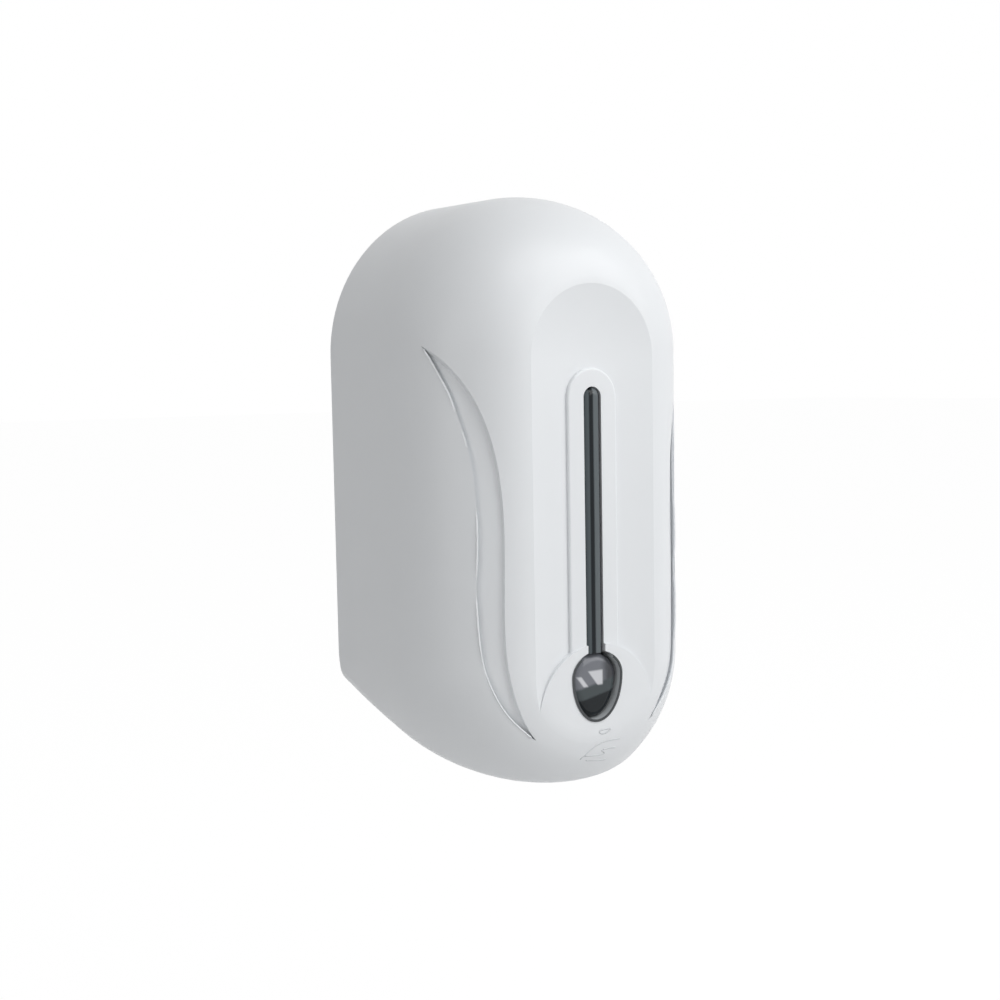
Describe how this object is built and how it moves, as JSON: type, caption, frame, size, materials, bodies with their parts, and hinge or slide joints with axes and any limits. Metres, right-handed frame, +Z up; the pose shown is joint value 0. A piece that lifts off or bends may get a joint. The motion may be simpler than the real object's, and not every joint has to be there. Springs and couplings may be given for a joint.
{
  "type": "wall mounted soap dispenser",
  "caption": "Touchless wall soap dispenser: gloss white swing-down cover with a level window and lens, over a tank, gear pump, battery bay and wall plate.",
  "frame": {"origin": "centre of the four wall screw holes, on the wall plane", "axes": "X to the right seen from the front, -Y out of the wall to the front, +Z up"},
  "size_m": [0.145, 0.1107, 0.264],
  "materials": {
    "shell_white": "gloss moulded ABS, white",
    "window_smoke": "smoky clear acrylic rod",
    "bezel_grey": "satin grey moulded ring",
    "lens_smoke": "smoky clear acrylic lens",
    "lock_metal": "nickel plated lock",
    "chassis_plastic": "matte moulded ABS, pale grey",
    "dark_plastic": "matte moulded plastic, dark",
    "tank_plastic": "translucent blow moulded tank",
    "cap_blue": "matte moulded cap",
    "seal_rubber": "black seal rubber",
    "gear_plastic": "natural acetal",
    "steel": "plain steel",
    "motor_steel": "drawn and plated steel can",
    "tube_clear": "clear silicone tube",
    "filter_dark": "infrared filter window, near black",
    "board_green": "coated circuit board",
    "component_black": "moulded component bodies",
    "cell_wrap": "printed cell wrap, plain",
    "contact_metal": "plated spring contact",
    "led_white": "clear diode body"
  },
  "bodies": {
    "chassis": {"back_plate": "chassis_plastic", "plate_rim": "chassis_plastic", "spout_housing": "shell_white", "hinge_pins": "steel", "lock_catch": "steel", "chassis_shelf": "chassis_plastic", "soap_tank": "tank_plastic", "pump_housing": "dark_plastic", "pump_lid": "dark_plastic", "motor_bracket": "steel", "motor": "motor_steel", "outlet_tube": "tube_clear", "nozzle": "dark_plastic", "sensor_window": "filter_dark", "infrared_diodes": "led_white", "sensor_board": "board_green", "battery_box": "dark_plastic", "battery_cells": "cell_wrap", "battery_contacts": "contact_metal", "circuit_board": "board_green", "board_components": "component_black", "switch_body": "component_black", "led_board": "board_green", "indicator_led": "led_white"},
    "cover": {"front_cover": "shell_white", "level_window": "window_smoke", "lens_bezel": "bezel_grey", "indicator_lens": "lens_smoke", "lock_housing": "lock_metal", "lock_nut": "lock_metal"},
    "lock": {"lock_barrel": "lock_metal", "lock_cam": "steel"},
    "cap": {"filler_cap": "cap_blue", "cap_gasket": "seal_rubber"},
    "pump_drive": {"drive_rotor": "gear_plastic", "reduction_gear": "gear_plastic"},
    "pump_idler": {"idler_rotor": "gear_plastic"},
    "motor_rotor": {"motor_pinion": "gear_plastic"},
    "bay_door": {"battery_door": "dark_plastic"},
    "power_switch": {"switch_knob": "cap_blue"}
  },
  "joints": [
    {"name": "cover_hinge", "type": "hinge", "parent": "chassis", "child": "cover", "pos_m": [0, -0.014, -0.0852], "axis": [1, 0, 0], "range_deg": [0, 65]},
    {"name": "lock_turn", "type": "hinge", "parent": "cover", "child": "lock", "pos_m": [0, -0.016, 0.13], "axis": [0, 0, -1], "range_deg": [0, 90]},
    {"name": "cap_turn", "type": "hinge", "parent": "chassis", "child": "cap", "pos_m": [0, -0.064, 0.11], "axis": [0, 0, 1], "range_deg": [0, 90]},
    {"name": "drive_spin", "type": "hinge", "parent": "chassis", "child": "pump_drive", "pos_m": [-0.0075, -0.03, -0.065], "axis": [0, 1, 0], "continuous": true},
    {"name": "idler_spin", "type": "hinge", "parent": "chassis", "child": "pump_idler", "pos_m": [0.0075, -0.03, -0.065], "axis": [0, 1, 0], "continuous": true},
    {"name": "pinion_spin", "type": "hinge", "parent": "chassis", "child": "motor_rotor", "pos_m": [0.0087, -0.04, -0.065], "axis": [0, 1, 0], "continuous": true},
    {"name": "bay_door_slide", "type": "slide", "parent": "chassis", "child": "bay_door", "axis": [0, 0, -1], "range_m": [0, 0.0045]},
    {"name": "power_slide", "type": "slide", "parent": "chassis", "child": "power_switch", "axis": [1, 0, 0], "range_m": [0, 0.004]}
  ],
  "couplings": [
    {"joint": "idler_spin", "follows": "drive_spin", "ratio": -1},
    {"joint": "pinion_spin", "follows": "drive_spin", "ratio": -2}
  ]
}
